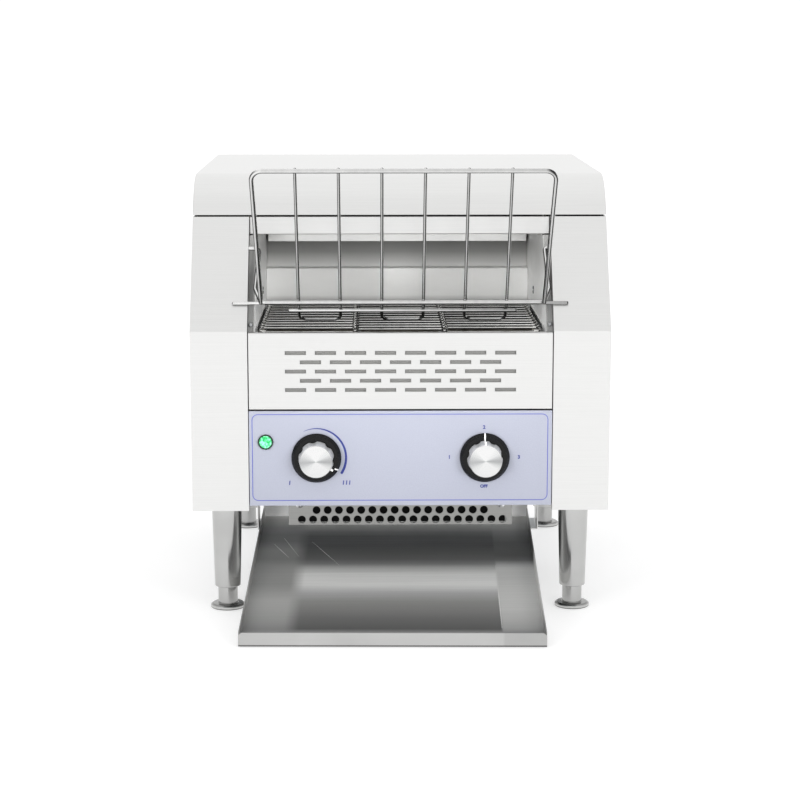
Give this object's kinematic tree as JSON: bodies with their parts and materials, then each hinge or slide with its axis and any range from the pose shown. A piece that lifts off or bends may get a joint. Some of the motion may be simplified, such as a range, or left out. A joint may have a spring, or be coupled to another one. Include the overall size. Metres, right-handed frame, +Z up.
{
  "type": "conveyor toaster",
  "caption": "Countertop conveyor toaster: a wire belt carries bread from a hung feed rack between heater banks, and the toast slides forwards onto a tray under the casing.",
  "frame": {"origin": "middle of the bottom of the whole part's box, at the level the feet stand on", "axes": "+Z up, the front with the controls faces -Y, +X to the right as seen from the front"},
  "size_m": [0.368, 0.505, 0.4043],
  "materials": {
    "case_steel": "satin stainless sheet of the covers",
    "panel_steel": "satin stainless sheet of the front panels and guard",
    "chamber_steel": "mill-finish stainless around the heaters",
    "chassis_steel": "zinc-plated inner sheet",
    "overlay_film": "printed polyester film",
    "heater_sheath": "heat-darkened steel sheath",
    "ceramic": "unglazed ceramic",
    "belt_wire": "drawn stainless wire",
    "turned_steel": "turned steel",
    "sprocket_steel": "oiled steel",
    "bronze": "oil-soaked bronze",
    "motor_metal": "cast and plated motor case",
    "black_plastic": "black moulding",
    "knob_plastic": "glossy black moulding",
    "knob_metal": "turned aluminium",
    "lamp_plastic": "dark green moulding",
    "lamp_lens": "clear green lens",
    "rack_wire": "polished steel wire",
    "tray_steel": "brushed stainless tray",
    "leg_metal": "polished leg",
    "board": "circuit board"
  },
  "bodies": {
    "casing": {"left_side_cover": "case_steel", "right_side_cover": "case_steel", "top_cover": "case_steel", "rear_cover": "case_steel", "front_header": "panel_steel", "vent_panel": "panel_steel", "perforated_guard": "panel_steel", "control_panel": "panel_steel", "upper_reflector": "chamber_steel", "back_panel_upper": "chamber_steel", "back_panel_lower": "chamber_steel", "toast_chute": "chamber_steel", "heat_shield": "chamber_steel", "belt_guides": "chamber_steel", "bottom_plate": "chassis_steel", "left_inner_plate": "chassis_steel", "right_inner_plate": "chassis_steel", "tray_brackets": "chassis_steel", "case_screws": "chassis_steel", "leg_nuts": "chassis_steel", "control_overlay": "overlay_film", "upper_heaters": "heater_sheath", "lower_heaters": "heater_sheath", "heater_collars": "ceramic", "terminal_block": "ceramic", "thermal_cutout": "ceramic", "conveyor_belt": "belt_wire", "drive_chain": "sprocket_steel", "shaft_bushes": "bronze", "gearmotor": "motor_metal", "fan_frame": "black_plastic", "speed_control": "black_plastic", "selector_switch": "black_plastic", "cable_gland": "black_plastic", "lamp_bezel": "lamp_plastic", "lamp_lens": "lamp_lens", "legs": "leg_metal", "control_board": "board"},
    "speed_dial": {"speed_spindle": "turned_steel", "speed_knob": "knob_plastic", "speed_knob_grip": "knob_metal"},
    "selector_dial": {"selector_spindle": "turned_steel", "selector_knob": "knob_plastic", "selector_knob_grip": "knob_metal"},
    "rear_roller": {"rear_shaft": "turned_steel", "rear_sprockets": "sprocket_steel", "driven_sprocket": "sprocket_steel"},
    "front_roller": {"front_shaft": "turned_steel", "front_sprockets": "sprocket_steel"},
    "motor_output": {"motor_shaft": "turned_steel", "motor_sprocket": "sprocket_steel"},
    "fan_wheel": {"fan_rotor": "black_plastic"},
    "tray": {"collecting_tray": "tray_steel"},
    "feed_rack": {"rack_frame": "rack_wire", "rack_rest_rod": "rack_wire", "rack_uprights": "rack_wire"},
    "foot_fl": {"foot_front_left": "leg_metal"},
    "foot_fr": {"foot_front_right": "leg_metal"},
    "foot_rl": {"foot_rear_left": "leg_metal"},
    "foot_rr": {"foot_rear_right": "leg_metal"}
  },
  "joints": [
    {"name": "speed_turn", "type": "hinge", "parent": "casing", "child": "speed_dial", "pos_m": [-0.0742, -0.15002, 0.1438], "axis": [0, -1, 0], "range_deg": [-16, 254]},
    {"name": "selector_turn", "type": "hinge", "parent": "casing", "child": "selector_dial", "pos_m": [0.0742, -0.15002, 0.1438], "axis": [0, -1, 0], "range_deg": [-90, 180]},
    {"name": "rear_roller_turn", "type": "hinge", "parent": "casing", "child": "rear_roller", "pos_m": [0, 0.03698, 0.23393], "axis": [1, 0, 0], "continuous": true},
    {"name": "front_roller_turn", "type": "hinge", "parent": "casing", "child": "front_roller", "pos_m": [0, -0.12302, 0.23393], "axis": [1, 0, 0], "continuous": true},
    {"name": "motor_turn", "type": "hinge", "parent": "casing", "child": "motor_output", "pos_m": [0, 0.14898, 0.152], "axis": [1, 0, 0], "continuous": true},
    {"name": "fan_turn", "type": "hinge", "parent": "casing", "child": "fan_wheel", "pos_m": [-0.06, 0.21998, 0.266], "axis": [0, 1, 0], "continuous": true},
    {"name": "tray_slide", "type": "slide", "parent": "casing", "child": "tray", "axis": [0, -1, 0], "range_m": [0, 0.3]},
    {"name": "rack_lift", "type": "slide", "parent": "casing", "child": "feed_rack", "axis": [0, 0, 1], "range_m": [0, 0.06]},
    {"name": "foot_fl_adjust", "type": "slide", "parent": "casing", "child": "foot_fl", "axis": [0, 0, 1], "range_m": [-0.01, 0.012]},
    {"name": "foot_fr_adjust", "type": "slide", "parent": "casing", "child": "foot_fr", "axis": [0, 0, 1], "range_m": [-0.01, 0.012]},
    {"name": "foot_rl_adjust", "type": "slide", "parent": "casing", "child": "foot_rl", "axis": [0, 0, 1], "range_m": [-0.01, 0.012]},
    {"name": "foot_rr_adjust", "type": "slide", "parent": "casing", "child": "foot_rr", "axis": [0, 0, 1], "range_m": [-0.01, 0.012]}
  ],
  "couplings": [
    {"joint": "front_roller_turn", "follows": "rear_roller_turn", "ratio": 1},
    {"joint": "motor_turn", "follows": "rear_roller_turn", "ratio": 2}
  ]
}
